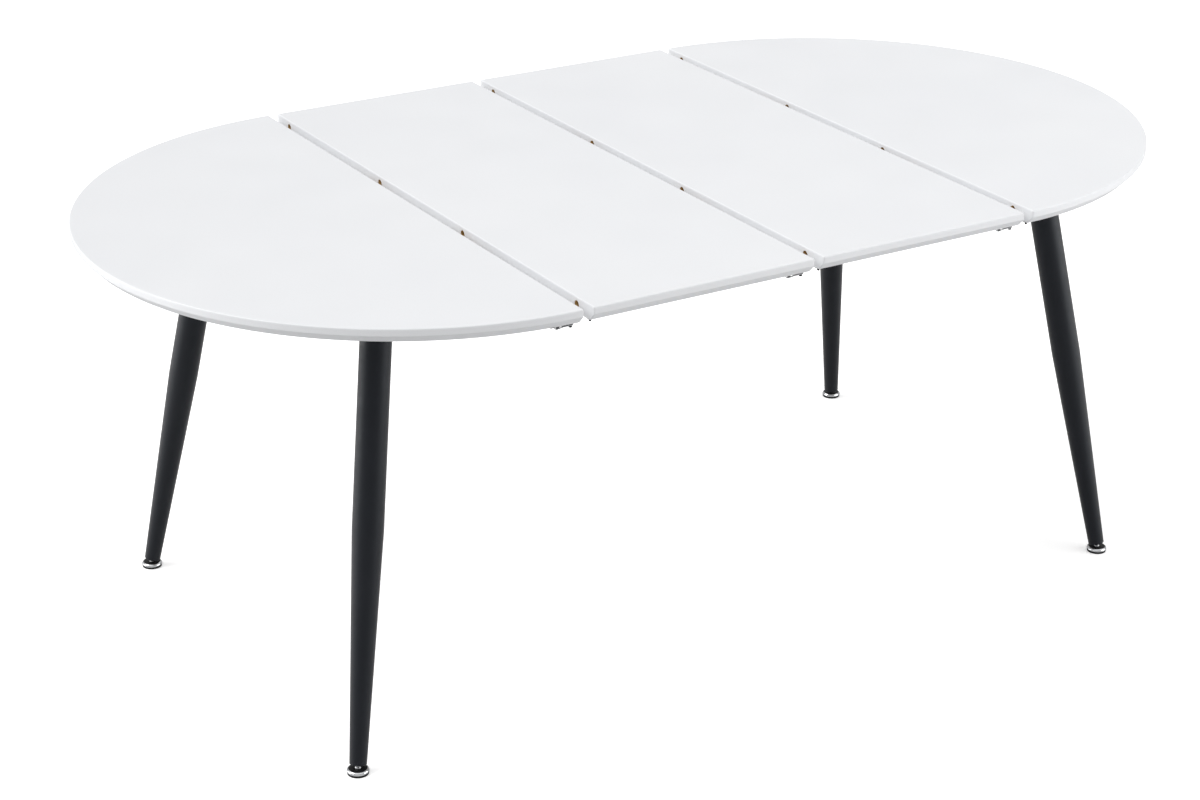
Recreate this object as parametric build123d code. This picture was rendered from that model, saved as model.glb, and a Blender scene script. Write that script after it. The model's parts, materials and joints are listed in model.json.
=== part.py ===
from build123d import *
import math
import os

os.makedirs("parts", exist_ok=True)

# Table top sizes
top_radius = 550
leaf_width = 400
seam_gap = 17
top_height = 760
top_thickness = 25
edge_face = 12
bevel_inset = 12.5
arris_radius = 2.5

# Seam dowel sizes
dowel_radius = 6
dowel_socket_depth = 22
dowel_reach = 9
dowel_hole_clearance = 0.2
dowel_end_clearance = 3
dowel_inner_y = 145
dowel_edge_inset = 50

# Leg sizes
leg_radius = 25
leg_end_radius = 14
leg_wall = 2
leg_taper_height = 385
leg_end_height = 16
leg_rim_inset = 178
leg_bearing = 54.5
leg_splay = 12.5
leg_splay_bearing = 44.5
leg_plate_size = 116
leg_plate_corner = 14
leg_plate_thickness = 5
leg_plug_length = 26
leg_screw_inset = 14

# Levelling foot sizes
foot_radius = 18
foot_rim_height = 1.2
foot_shoulder_radius = 4
foot_crown_radius = 6
foot_crown_rise = 0.5
foot_pad_height = 4
foot_pad_step = 0.4
foot_ball_radius = 5.2
foot_ball_height = 8.6
foot_collar_flats = 13
foot_collar_height = 3.4
foot_stud_radius = 4
foot_stud_length = 42
stud_clearance = 0.05

# Runner sizes
runner_leg_clearance = 13
rail_length = 720
rail_width = 26
rail_height = 38
mid_rail_width = 20
mid_rail_height = 40
rail_side_gap = 2
tongue_neck_height = 8
tongue_neck_depth = 4
tongue_head_height = 16
tongue_head_depth = 6
slide_clearance = 0.3
rail_screw_end_inset = 40
rail_web = 12
stop_setback = 30
stop_radius = 3
stop_reach = 2
stop_groove_depth = 3
stop_groove_height = 8
stop_head_radius = 5.5
stop_head_height = 3.5
tie_width = 30
tie_thickness = 4
tie_x = 150

# Latch sizes
latch_edge_inset = 23
latch_pivot_setback = 10
latch_plate_start = 2
latch_plate_length = 46
latch_plate_width = 14
latch_plate_thickness = 1.5
latch_screw_setbacks = (26, 40)
latch_spacer_radius = 4
latch_spacer_height = 2.3
latch_post_radius = 1.7
latch_post_clearance = 0.05
latch_head_radius = 2.6
latch_head_height = 3.4
lever_thickness = 1.5
lever_play = 0.1
lever_half_width = 4.2
lever_length = 15
lever_tab_run = 10
lever_tab_drop = 2.8
lever_lip_run = 3.5
lever_lip_rise = 3
keeper_setback = 7
keeper_post_radius = 2
keeper_post_clearance = 0.3
keeper_post_length = 4.5
keeper_plate_start = 2
keeper_plate_length = 32
keeper_plate_width = 14
keeper_screw_setbacks = (18, 28)

# Screw sizes
leg_screw_radius = 2.5
leg_screw_head_radius = 5
leg_screw_head_height = 2.8
leg_screw_bite = 16
rail_screw_radius = 2.25
rail_screw_head_radius = 4.2
rail_screw_head_height = 3
rail_screw_bite = 16
rail_screw_play = 0.4
small_screw_radius = 1.6
small_screw_head_radius = 3.1
small_screw_bite = 13
tie_screw_radius = 3
tie_screw_head_radius = 5
tie_screw_head_height = 3
tie_screw_bite = 18

# Levels and places that follow from the sizes
underside = top_height - top_thickness
seam_level = top_height - top_thickness / 2
half_seam = leaf_width + 1.5 * seam_gap
leaf_inner = seam_gap / 2
leaf_outer = leaf_inner + leaf_width
travel = half_seam
dowel_outer_y = top_radius - dowel_edge_inset
dowel_rows = (-dowel_outer_y, -dowel_inner_y, dowel_inner_y, dowel_outer_y)
latch_y = top_radius - latch_edge_inset
lever_top = underside - latch_plate_thickness - latch_spacer_height - lever_play
leg_top_x = half_seam + (top_radius - leg_rim_inset) * math.cos(math.radians(leg_bearing))
leg_top_y = (top_radius - leg_rim_inset) * math.sin(math.radians(leg_bearing))
rail_pitch = (rail_width + mid_rail_width) / 2 + rail_side_gap
rail_wall = rail_width - tongue_neck_depth - tongue_head_depth
rail_screw_setbacks = (
    rail_screw_end_inset,
    rail_length / 4,
    rail_length / 2 - rail_screw_end_inset,
)
runner_reach = rail_pitch + rail_width / 2 + stop_head_height
runner_y = leg_top_y - leg_plate_size / 2 - runner_leg_clearance - runner_reach
tongue_level = underside - rail_height / 2
cut_size = 2 * top_height
up = (Align.CENTER, Align.CENTER, Align.MIN)
down = (Align.CENTER, Align.CENTER, Align.MAX)
sides = {"front": -1, "back": 1}
corners = {
    "front_left": (-1, -1),
    "back_left": (-1, 1),
    "front_right": (1, -1),
    "back_right": (1, 1),
}
nodes = {}


def along_x(solid, x, y, z, direction=1):
    return Pos(x, y, z) * Rot(0, 90 * direction, 0) * solid


def group(solids):
    return Compound(children=list(solids))


# Edge section shared by the halves and the leaves
def half_section(plane):
    corner_points = [
        (0, underside),
        (top_radius - bevel_inset, underside),
        (top_radius, top_height - edge_face),
        (top_radius, top_height),
        (0, top_height),
    ]
    return make_face(plane * Polyline(*corner_points, close=True))


def soften_top(panel):
    return fillet(panel.edges().group_by(Axis.Z)[-1], arris_radius)


def make_half(side):
    disc = revolve(half_section(Plane.XZ), Axis.Z)
    reach = top_radius + top_thickness
    keep = Pos(-reach / 2, 0, seam_level) * Box(reach, 2 * reach, 2 * top_thickness)
    half = soften_top(disc & keep)
    if side > 0:
        half = Rot(0, 0, 180) * half
    return Pos(side * half_seam, 0, 0) * half


def make_leaf(side):
    start = -leaf_outer if side < 0 else leaf_inner
    section = half_section(Plane.YZ) + mirror(half_section(Plane.YZ), about=Plane.XZ)
    leaf = extrude(section, amount=leaf_width, dir=(1, 0, 0))
    return Pos(start, 0, 0) * soften_top(leaf)


# Dowels sit in the right-hand seam face of a panel and enter the next panel's holes
def make_dowels(seam_x):
    stem = Cylinder(dowel_radius, dowel_socket_depth + dowel_reach - dowel_radius, align=up)
    tip = Pos(0, 0, dowel_socket_depth + dowel_reach - dowel_radius) * Sphere(dowel_radius)
    dowel = stem + tip
    return [along_x(dowel, seam_x - dowel_socket_depth, y, seam_level) for y in dowel_rows]


def make_dowel_holes(seam_x):
    depth = dowel_reach + dowel_end_clearance
    hole = Cylinder(dowel_radius + dowel_hole_clearance, depth, align=up)
    return [along_x(hole, seam_x, y, seam_level) for y in dowel_rows]


# Countersunk wood screw pointing up, its head's face at the given level
def make_screw(x, y, level, radius, head_radius, head_height, length):
    head = Cone(head_radius, radius, head_height, align=up)
    shank = Pos(0, 0, head_height) * Cylinder(radius, length - head_height - 2 * radius, align=up)
    point = Pos(0, 0, length - 2 * radius) * Cone(radius, radius / 4, 2 * radius, align=up)
    return Pos(x, y, level) * (head + shank + point)


# Legs with their plates, plugs and levelling feet
def leg_axis(sx, sy):
    run = math.tan(math.radians(leg_splay))
    bearing = math.radians(leg_splay_bearing)
    return Vector(-sx * run * math.cos(bearing), -sy * run * math.sin(bearing), 1).normalized()


def leg_solid(radius_inset, length, taper_start, over):
    upper = leg_radius - radius_inset
    lower = leg_end_radius - radius_inset
    points = [(0, over), (upper, over), (upper, -taper_start), (lower, -length), (0, -length)]
    return revolve(make_face(Plane.XZ * Polyline(*points, close=True)), Axis.Z)


def make_foot(axis_plane, end_point):
    ball_drop = (leg_end_height - foot_ball_height) / math.cos(math.radians(leg_splay))
    ball_centre = end_point - axis_plane.z_dir * ball_drop
    collar = RegularPolygon(foot_collar_flats / 2, 6, major_radius=False)
    collar_solid = extrude(collar, amount=-foot_collar_height)
    stud = Pos(0, 0, -ball_drop) * Cylinder(foot_stud_radius, foot_stud_length, align=up)
    rim_top = foot_pad_height + foot_rim_height
    shoulder_top = rim_top + foot_shoulder_radius
    shoulder_centre = foot_radius - foot_shoulder_radius
    dome_top = shoulder_top + foot_crown_rise
    diagonal = foot_shoulder_radius * math.sqrt(0.5)
    dome_points = [(0, foot_pad_height), (foot_radius, foot_pad_height), (foot_radius, rim_top)]
    dome_curve = ThreePointArc(
        (foot_radius, rim_top),
        (shoulder_centre + diagonal, rim_top + diagonal),
        (shoulder_centre, shoulder_top),
    )
    dome_end = Polyline(
        (shoulder_centre, shoulder_top),
        (foot_crown_radius, dome_top),
        (0, dome_top),
        (0, foot_pad_height),
    )
    dome_face = make_face(Plane.XZ * (Polyline(*dome_points) + dome_curve + dome_end))
    dome = Pos(ball_centre.X, ball_centre.Y, 0) * revolve(dome_face, Axis.Z)
    ball = Pos(ball_centre.X, ball_centre.Y, foot_ball_height) * Sphere(foot_ball_radius)
    end_plane = Plane(origin=end_point, x_dir=axis_plane.x_dir, z_dir=axis_plane.z_dir)
    body = dome + ball + end_plane.location * (collar_solid + stud)
    keep = Pos(ball_centre.X, ball_centre.Y, foot_pad_height) * Box(
        cut_size, cut_size, cut_size, align=up
    )
    foot = body & keep
    pad_lower = Cylinder(foot_radius - 2 * foot_pad_step, foot_pad_height / 2, align=up)
    pad_upper = Pos(0, 0, foot_pad_height / 2) * Cylinder(
        foot_radius - foot_pad_step, foot_pad_height / 2, align=up
    )
    pad = Pos(ball_centre.X, ball_centre.Y, 0) * (pad_lower + pad_upper)
    return foot, pad


def make_leg(sx, sy):
    top_point = Vector(sx * leg_top_x, sy * leg_top_y, underside - leg_plate_thickness)
    axis = leg_axis(sx, sy)
    frame = Plane(origin=top_point, x_dir=(axis.Z, 0, -axis.X), z_dir=axis)
    slope = math.cos(math.radians(leg_splay))
    length = (top_point.Z - leg_end_height) / slope
    taper_start = (top_point.Z - leg_taper_height) / slope
    over = 2 * leg_radius
    place = frame.location
    outer = place * leg_solid(0, length, taper_start, over)
    inner = place * leg_solid(leg_wall, length, taper_start, over)
    above = Pos(top_point.X, top_point.Y, top_point.Z) * Box(
        cut_size, cut_size, cut_size, align=up
    )
    tube = outer - inner - above
    slab = place * Pos(0, 0, -length) * Cylinder(leg_radius, leg_plug_length, align=up)
    bore_radius = foot_stud_radius + stud_clearance
    bore = place * Pos(0, 0, -length) * Cylinder(bore_radius, leg_plug_length, align=up)
    plug = (inner & slab) - bore
    foot, pad = make_foot(frame, top_point - axis * length)
    return tube, plug, foot, pad


def make_leg_plate(sx, sy):
    outline = RectangleRounded(leg_plate_size, leg_plate_size, leg_plate_corner)
    plate = extrude(outline, amount=leg_plate_thickness)
    return Pos(sx * leg_top_x, sy * leg_top_y, underside - leg_plate_thickness) * plate


def make_leg_screws(sx, sy):
    offset = leg_plate_size / 2 - leg_screw_inset
    level = underside - leg_plate_thickness
    length = leg_plate_thickness + leg_screw_bite
    spots = [(ox, oy) for ox in (-offset, offset) for oy in (-offset, offset)]
    return [
        make_screw(
            sx * leg_top_x + ox,
            sy * leg_top_y + oy,
            level,
            leg_screw_radius,
            leg_screw_head_radius,
            leg_screw_head_height,
            length,
        )
        for ox, oy in spots
    ]


# Runners: an inner left rail, a middle rail with two tongues and an outer right rail
def rail_line(side, lane):
    return side * (runner_y + lane * rail_pitch)


def make_rail(side, lane):
    centre_x = lane * half_seam
    y = rail_line(side, lane)
    inward = -side * lane
    rail = Pos(centre_x, y, underside) * Box(rail_length, rail_width, rail_height, align=down)
    face_y = y + inward * rail_width / 2
    neck_y = face_y - inward * tongue_neck_depth / 2
    head_y = face_y - inward * (tongue_neck_depth + tongue_head_depth / 2)
    neck = Pos(centre_x, neck_y, tongue_level) * Box(
        rail_length, tongue_neck_depth, tongue_neck_height
    )
    head = Pos(centre_x, head_y, tongue_level) * Box(
        rail_length, tongue_head_depth, tongue_head_height
    )
    rail = rail - neck - head
    return rail


def rail_screw_spots(side, lane):
    outer_y = rail_line(side, lane) + side * lane * (rail_width - rail_wall) / 2
    return [(lane * (half_seam + setback), outer_y) for setback in rail_screw_setbacks]


def make_rail_bores(side, lane):
    bottom = underside - rail_height
    bore_radius = rail_screw_head_radius + rail_screw_play
    bores = []
    for x, y in rail_screw_spots(side, lane):
        bores.append(Pos(x, y, bottom) * Cylinder(bore_radius, rail_height - rail_web, align=up))
    return bores


def make_rail_screws(side, lane):
    return [
        make_screw(
            x,
            y,
            underside - rail_web,
            rail_screw_radius,
            rail_screw_head_radius,
            rail_screw_head_height,
            rail_web + rail_screw_bite,
        )
        for x, y in rail_screw_spots(side, lane)
    ]


def make_stop_bolt(side, lane):
    x = lane * (rail_length / 2 - stop_setback)
    outward = side * lane
    outer_y = rail_line(side, lane) + outward * rail_width / 2
    shank = Cylinder(stop_radius, rail_wall + slide_clearance + stop_reach, align=up)
    head = Cylinder(stop_head_radius, stop_head_height, align=down)
    return Pos(x, outer_y, tongue_level) * Rot(90 * outward, 0, 0) * (shank + head)


def make_mid_rail(side):
    y = rail_line(side, 0)
    rail = Pos(0, y, underside) * Box(rail_length, mid_rail_width, mid_rail_height, align=down)
    neck_depth = rail_side_gap + tongue_neck_depth + slide_clearance
    head_depth = tongue_head_depth - 2 * slide_clearance
    for lane in (-1, 1):
        outward = side * lane
        face_y = y + outward * mid_rail_width / 2
        neck_y = face_y + outward * neck_depth / 2
        head_y = face_y + outward * (neck_depth + head_depth / 2)
        neck = Pos(0, neck_y, tongue_level) * Box(
            rail_length, neck_depth, tongue_neck_height - 2 * slide_clearance
        )
        head = Pos(0, head_y, tongue_level) * Box(
            rail_length, head_depth, tongue_head_height - 2 * slide_clearance
        )
        groove_start = lane * (rail_length / 2 - stop_setback)
        groove_centre = groove_start - lane * travel / 2
        groove_y = head_y + outward * (head_depth - stop_groove_depth) / 2
        groove = Pos(groove_centre, groove_y, tongue_level) * Box(
            travel + 2 * stop_radius, stop_groove_depth, stop_groove_height
        )
        rail = rail + neck + head - groove
    return rail


def make_tie(end):
    span = 2 * runner_y + mid_rail_width
    level = underside - mid_rail_height
    return Pos(end * tie_x, 0, level) * Box(tie_width, span, tie_thickness, align=down)


def make_tie_screw(end, side):
    level = underside - mid_rail_height - tie_thickness
    shank = Cylinder(tie_screw_radius, tie_thickness + tie_screw_bite, align=up)
    head = Cylinder(tie_screw_head_radius, tie_screw_head_height, align=down)
    return Pos(end * tie_x, side * runner_y, level) * (shank + head)


# Seam latches: a base with a peened post, a swinging lever and a keeper on the next panel
def make_latch_base(seam_x, side):
    plate = Pos(seam_x - latch_plate_start, side * latch_y, underside) * Box(
        latch_plate_length,
        latch_plate_width,
        latch_plate_thickness,
        align=(Align.MAX, Align.CENTER, Align.MAX),
    )
    level = underside - latch_plate_thickness
    spacer_top = Pos(seam_x - latch_pivot_setback, side * latch_y, level)
    spacer = spacer_top * Cylinder(latch_spacer_radius, latch_spacer_height, align=down)
    pivot = spacer_top * Pos(0, 0, -latch_spacer_height)
    post_length = lever_thickness + 2 * lever_play
    post = pivot * Cylinder(latch_post_radius, post_length, align=down)
    head = pivot * Pos(0, 0, -post_length) * Cylinder(
        latch_head_radius, latch_head_height, align=down
    )
    return plate + spacer + post + head


def make_lever(seam_x, side):
    strip = Pos(-lever_length / 2, 0, 0) * Box(lever_length, 2 * lever_half_width, lever_thickness)
    round_end = Cylinder(lever_half_width, lever_thickness)
    tab_points = [
        (-lever_length, -lever_thickness / 2),
        (-lever_length - lever_tab_run, -lever_thickness / 2 - lever_tab_drop),
        (
            -lever_length - lever_tab_run - lever_lip_run,
            -lever_thickness / 2 - lever_tab_drop + lever_lip_rise,
        ),
        (
            -lever_length - lever_tab_run - lever_lip_run,
            lever_thickness / 2 - lever_tab_drop + lever_lip_rise,
        ),
        (-lever_length - lever_tab_run, lever_thickness / 2 - lever_tab_drop),
        (-lever_length, lever_thickness / 2),
    ]
    tab_face = make_face(Plane.XZ * Polyline(*tab_points, close=True))
    tab = extrude(tab_face, amount=lever_half_width, both=True)
    cut_height = 2 * (lever_thickness + lever_tab_drop)
    hole = Cylinder(latch_post_radius + latch_post_clearance, cut_height)
    reach = latch_pivot_setback + keeper_setback
    notch_radius = keeper_post_radius + keeper_post_clearance
    notch = Pos(-reach, 0, 0) * Cylinder(notch_radius, cut_height)
    notch_mouth = Pos(-reach, -side * lever_half_width, 0) * Box(
        2 * notch_radius, 2 * lever_half_width, cut_height
    )
    lever = strip + round_end + tab - hole - notch - notch_mouth
    level = lever_top - lever_thickness / 2
    return Pos(seam_x - latch_pivot_setback, side * latch_y, level) * lever


def make_latch_screws(seam_x, side):
    level = underside - latch_plate_thickness
    return [
        make_screw(
            seam_x - setback,
            side * latch_y,
            level,
            small_screw_radius,
            small_screw_head_radius,
            latch_plate_thickness,
            latch_plate_thickness + small_screw_bite,
        )
        for setback in latch_screw_setbacks
    ]


def make_keeper(seam_x, side):
    plate = Pos(seam_x + keeper_plate_start, side * latch_y, underside) * Box(
        keeper_plate_length,
        keeper_plate_width,
        latch_plate_thickness,
        align=(Align.MIN, Align.CENTER, Align.MAX),
    )
    level = underside - latch_plate_thickness
    post = Pos(seam_x + keeper_setback, side * latch_y, level) * Cylinder(
        keeper_post_radius, keeper_post_length, align=down
    )
    return plate + post


def make_keeper_screws(seam_x, side):
    level = underside - latch_plate_thickness
    return [
        make_screw(
            seam_x + setback,
            side * latch_y,
            level,
            small_screw_radius,
            small_screw_head_radius,
            latch_plate_thickness,
            latch_plate_thickness + small_screw_bite,
        )
        for setback in keeper_screw_setbacks
    ]


# Build each panel with the things that are let into it
panels = {
    "left": make_half(-1),
    "leaf_1": make_leaf(-1),
    "leaf_2": make_leaf(1),
    "right": make_half(1),
}
dowel_seams = {"left": -half_seam, "leaf_1": -leaf_inner, "leaf_2": leaf_outer}
hole_seams = {"leaf_1": -leaf_outer, "leaf_2": leaf_inner, "right": half_seam}

for name, seam_x in dowel_seams.items():
    dowels = make_dowels(seam_x)
    screws = []
    bases = []
    for side_name, side in sides.items():
        base = make_latch_base(seam_x, side)
        base_screws = make_latch_screws(seam_x, side)
        for screw in base_screws:
            base = base - screw
        bases.append(base)
        screws += base_screws
        nodes[f"latch_{name}_{side_name}"] = make_lever(seam_x, side)
    for solid in dowels + screws:
        panels[name] = panels[name] - solid
    nodes[f"{name}_dowels"] = group(dowels)
    nodes[f"{name}_latch_bases"] = group(bases)
    nodes[f"{name}_screws"] = screws

for name, seam_x in hole_seams.items():
    for hole in make_dowel_holes(seam_x):
        panels[name] = panels[name] - hole
    keepers = []
    screws = []
    for side in sides.values():
        keeper = make_keeper(seam_x, side)
        keeper_screws = make_keeper_screws(seam_x, side)
        for screw in keeper_screws:
            keeper = keeper - screw
            panels[name] = panels[name] - screw
        keepers.append(keeper)
        screws += keeper_screws
    nodes[f"{name}_keepers"] = group(keepers)
    nodes[f"{name}_screws"] = nodes.get(f"{name}_screws", []) + screws

for name in panels:
    nodes[f"{name}_screws"] = group(nodes[f"{name}_screws"])

# Legs under the halves
leg_screws = {"left": [], "right": []}
for corner, (sx, sy) in corners.items():
    half_name = "left" if sx < 0 else "right"
    tube, plug, foot, pad = make_leg(sx, sy)
    plate = make_leg_plate(sx, sy)
    for screw in make_leg_screws(sx, sy):
        plate = plate - screw
        panels[half_name] = panels[half_name] - screw
        leg_screws[half_name].append(screw)
    nodes[f"leg_{corner}"] = tube
    nodes[f"leg_plate_{corner}"] = plate
    nodes[f"leg_plug_{corner}"] = plug
    nodes[f"foot_{corner}"] = foot
    nodes[f"foot_pad_{corner}"] = pad
nodes["left_leg_screws"] = group(leg_screws["left"])
nodes["right_leg_screws"] = group(leg_screws["right"])

# Runners under the top
for name, lane in (("left", -1), ("right", 1)):
    screws = []
    bolts = []
    for side_name, side in sides.items():
        rail = make_rail(side, lane)
        for bore in make_rail_bores(side, lane):
            rail = rail - bore
        for screw in make_rail_screws(side, lane):
            rail = rail - screw
            panels[name] = panels[name] - screw
            screws.append(screw)
        bolt = make_stop_bolt(side, lane)
        bolts.append(bolt)
        nodes[f"{name}_rail_{side_name}"] = rail - bolt
    nodes[f"{name}_rail_screws"] = group(screws)
    nodes[f"{name}_stop_bolts"] = group(bolts)

mid_rails = {side_name: make_mid_rail(side) for side_name, side in sides.items()}
ties = {end: make_tie(end) for end in (-1, 1)}
tie_screws = []
for end in ties:
    for side_name, side in sides.items():
        screw = make_tie_screw(end, side)
        ties[end] = ties[end] - screw
        mid_rails[side_name] = mid_rails[side_name] - screw
        tie_screws.append(screw)
for side_name, rail in mid_rails.items():
    nodes[f"mid_rail_{side_name}"] = rail
nodes["mid_ties"] = group(ties.values())
nodes["mid_tie_screws"] = group(tie_screws)

nodes["left_half"] = panels["left"]
nodes["leaf_1"] = panels["leaf_1"]
nodes["leaf_2"] = panels["leaf_2"]
nodes["right_half"] = panels["right"]

for name, shape in nodes.items():
    export_step(shape, f"parts/{name}.step")
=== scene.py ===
import json
from math import cos, pi, radians, sin

import bmesh
import bpy
from mathutils import Matrix, Vector


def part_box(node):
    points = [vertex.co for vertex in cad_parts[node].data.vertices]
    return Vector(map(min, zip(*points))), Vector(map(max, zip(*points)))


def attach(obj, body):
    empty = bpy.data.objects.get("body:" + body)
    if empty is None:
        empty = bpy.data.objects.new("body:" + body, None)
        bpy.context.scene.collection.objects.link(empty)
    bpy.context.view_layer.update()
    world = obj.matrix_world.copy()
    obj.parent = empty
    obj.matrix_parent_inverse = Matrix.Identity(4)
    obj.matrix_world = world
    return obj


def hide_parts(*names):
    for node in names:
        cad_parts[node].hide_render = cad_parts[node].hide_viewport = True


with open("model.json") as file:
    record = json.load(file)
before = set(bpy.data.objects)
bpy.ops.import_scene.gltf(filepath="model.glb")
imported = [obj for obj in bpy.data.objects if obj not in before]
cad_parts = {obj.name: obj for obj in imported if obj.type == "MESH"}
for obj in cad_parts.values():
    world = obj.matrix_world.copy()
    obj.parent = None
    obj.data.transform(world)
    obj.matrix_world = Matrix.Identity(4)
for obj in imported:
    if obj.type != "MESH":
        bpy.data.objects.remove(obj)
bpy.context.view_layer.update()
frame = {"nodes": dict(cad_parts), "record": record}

scene = bpy.context.scene
cadNodes = frame["nodes"]
bodies = frame["record"]["behaviour"]["bodies"]
bodyOf = {node: body for body, members in bodies.items() for node in members}
corners = ("front_left", "back_left", "front_right", "back_right")
print("frame loaded:", len(cadNodes), "nodes")


# small tools for finishes

def startFinish(name):
    finish = bpy.data.materials.new(name)
    finish.use_nodes = True
    shader = finish.node_tree.nodes["Principled BSDF"]
    place = finish.node_tree.nodes.new("ShaderNodeTexCoord").outputs["Object"]
    return finish, finish.node_tree, shader, place


def feed(shader, socket, value):
    shader.id_data.links.new(value, shader.inputs[socket])


def stretched(tree, place, scale):
    mapping = tree.nodes.new("ShaderNodeMapping")
    mapping.inputs["Scale"].default_value = scale
    tree.links.new(place, mapping.inputs["Vector"])
    return mapping.outputs["Vector"]


def cloud(tree, place, scale, detail=3.0, rough=0.5, warp=0.0):
    noise = tree.nodes.new("ShaderNodeTexNoise")
    noise.inputs["Scale"].default_value = scale
    noise.inputs["Detail"].default_value = detail
    noise.inputs["Roughness"].default_value = rough
    noise.inputs["Distortion"].default_value = warp
    tree.links.new(place, noise.inputs["Vector"])
    return noise.outputs["Fac"]


def tint(tree, fac, stops):
    ramp = tree.nodes.new("ShaderNodeValToRGB")
    while len(ramp.color_ramp.elements) < len(stops):
        ramp.color_ramp.elements.new(0.5)
    for element, (at, colour) in zip(ramp.color_ramp.elements, stops):
        element.position = at
        element.color = (*colour, 1)
    tree.links.new(fac, ramp.inputs["Fac"])
    return ramp.outputs["Color"]


def spread(tree, fac, low, high):
    # the middle of a cloud's range, stretched between two values
    span = tree.nodes.new("ShaderNodeMapRange")
    for name, value in (("From Min", 0.3), ("From Max", 0.7), ("To Min", low), ("To Max", high)):
        span.inputs[name].default_value = value
    tree.links.new(fac, span.inputs["Value"])
    return span.outputs["Result"]


def multiplied(tree, first, second):
    mix = tree.nodes.new("ShaderNodeMix")
    mix.data_type = "RGBA"
    mix.blend_type = "MULTIPLY"
    mix.inputs["Factor"].default_value = 1.0
    tree.links.new(first, mix.inputs["A"])
    tree.links.new(second, mix.inputs["B"])
    return mix.outputs["Result"]


def relief(tree, height, strength, distance, under=None):
    bump = tree.nodes.new("ShaderNodeBump")
    bump.inputs["Strength"].default_value = strength
    bump.inputs["Distance"].default_value = distance
    tree.links.new(height, bump.inputs["Height"])
    if under is not None:
        tree.links.new(under, bump.inputs["Normal"])
    return bump.outputs["Normal"]


# finishes

def makeWhiteLacquer():
    finish, tree, shader, place = startFinish("whiteLacquer")
    drift = cloud(tree, place, 2.2, 2.0)
    speck = cloud(tree, place, 620.0, 1.0)
    base = tint(tree, drift, [(0.3, (0.728, 0.737, 0.756)), (0.7, (0.747, 0.755, 0.770))])
    fleck = tint(tree, speck, [(0.25, (0.955, 0.955, 0.955)), (0.42, (1.0, 1.0, 1.0))])
    feed(shader, "Base Color", multiplied(tree, base, fleck))
    feed(shader, "Roughness", spread(tree, cloud(tree, place, 9.0, 4.0), 0.36, 0.46))
    roller = relief(tree, cloud(tree, place, 260.0, 1.5), 0.05, 0.0004)
    feed(shader, "Normal", relief(tree, cloud(tree, place, 34.0, 1.0), 0.03, 0.0015, roller))
    shader.inputs["Specular IOR Level"].default_value = 0.42
    return finish


def makeRawBoard():
    finish, tree, shader, place = startFinish("rawBoard")
    fibres = cloud(tree, stretched(tree, place, (900, 900, 2600)), 1.0, 4.0, 0.65)
    layers = cloud(tree, stretched(tree, place, (40, 40, 700)), 1.0, 2.0)
    base = tint(tree, fibres, [(0.3, (0.470, 0.290, 0.105)), (0.72, (0.800, 0.580, 0.270))])
    shade = tint(tree, layers, [(0.3, (0.74, 0.72, 0.68)), (0.7, (1.0, 1.0, 1.0))])
    feed(shader, "Base Color", multiplied(tree, base, shade))
    feed(shader, "Normal", relief(tree, fibres, 0.5, 0.0004))
    shader.inputs["Roughness"].default_value = 0.92
    shader.inputs["Specular IOR Level"].default_value = 0.15
    return finish


def makeBlackPowderCoat():
    finish, tree, shader, place = startFinish("blackPowderCoat")
    grain = cloud(tree, place, 1500.0, 1.5)
    patch = cloud(tree, place, 14.0, 3.0)
    base = tint(tree, patch, [(0.3, (0.0034, 0.0044, 0.0078)), (0.7, (0.0052, 0.0064, 0.0102))])
    sparkle = tint(tree, grain, [(0.35, (0.80, 0.80, 0.80)), (0.65, (1.0, 1.0, 1.0))])
    feed(shader, "Base Color", multiplied(tree, base, sparkle))
    feed(shader, "Roughness", spread(tree, cloud(tree, place, 60.0, 4.0), 0.43, 0.53))
    wave = relief(tree, cloud(tree, place, 230.0, 2.0), 0.06, 0.0006)
    feed(shader, "Normal", relief(tree, grain, 0.18, 0.0003, wave))
    shader.inputs["Specular IOR Level"].default_value = 0.27
    shader.inputs["Specular Tint"].default_value = (0.90, 0.95, 1.0, 1)
    shader.inputs["Sheen Weight"].default_value = 0.44
    shader.inputs["Sheen Roughness"].default_value = 0.40
    return finish


def makeChrome():
    finish, tree, shader, place = startFinish("chrome")
    haze = cloud(tree, place, 90.0, 4.0, 0.6)
    base = tint(tree, haze, [(0.3, (0.70, 0.715, 0.735)), (0.7, (0.80, 0.81, 0.825))])
    feed(shader, "Base Color", base)
    feed(shader, "Roughness", spread(tree, haze, 0.07, 0.16))
    feed(shader, "Normal", relief(tree, cloud(tree, place, 700.0, 1.0), 0.02, 0.0002))
    shader.inputs["Metallic"].default_value = 1.0
    return finish


def makeBlackPlastic():
    finish, tree, shader, place = startFinish("blackPlastic")
    pebble = tree.nodes.new("ShaderNodeTexVoronoi")
    pebble.inputs["Scale"].default_value = 1400.0
    tree.links.new(place, pebble.inputs["Vector"])
    patch = cloud(tree, place, 70.0, 3.0)
    base = tint(tree, patch, [(0.3, (0.005, 0.005, 0.0055)), (0.7, (0.009, 0.009, 0.0095))])
    feed(shader, "Base Color", base)
    feed(shader, "Roughness", spread(tree, patch, 0.50, 0.64))
    feed(shader, "Normal", relief(tree, pebble.outputs["Distance"], 0.25, 0.0002))
    shader.inputs["Specular IOR Level"].default_value = 0.25
    return finish


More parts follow.
